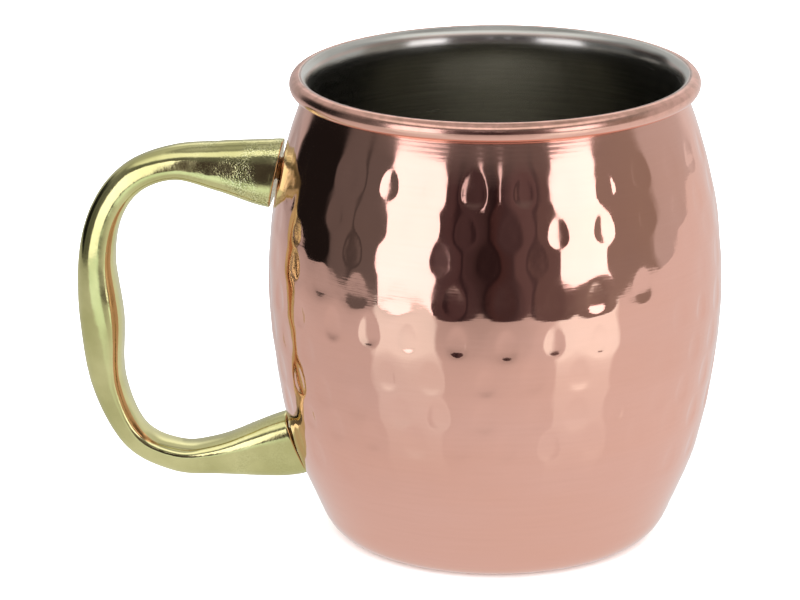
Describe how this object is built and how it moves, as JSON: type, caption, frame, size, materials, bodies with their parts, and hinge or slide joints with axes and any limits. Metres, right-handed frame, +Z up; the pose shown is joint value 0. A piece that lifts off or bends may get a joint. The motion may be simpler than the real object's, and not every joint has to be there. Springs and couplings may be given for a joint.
{
  "type": "lined metal mug",
  "caption": "Hammered copper barrel mug with a smooth steel lining, a rolled rim and a cast brass loop handle.",
  "frame": {"origin": "centre of the flat underside, on the mug's round axis", "axes": "+Z up along the mug's round axis, -X out through the middle of the handle, +Y completes the frame"},
  "size_m": [0.1378, 0.096, 0.0996],
  "materials": {
    "copper": "polished copper with shallow hammer marks",
    "steel": "satin, spun",
    "brass": "polished casting",
    "braze": "dull braze metal"
  },
  "bodies": {
    "root": {"copper_shell": "copper", "steel_liner": "steel", "handle": "brass", "upper_stud": "braze", "lower_stud": "braze"}
  },
  "joints": []
}
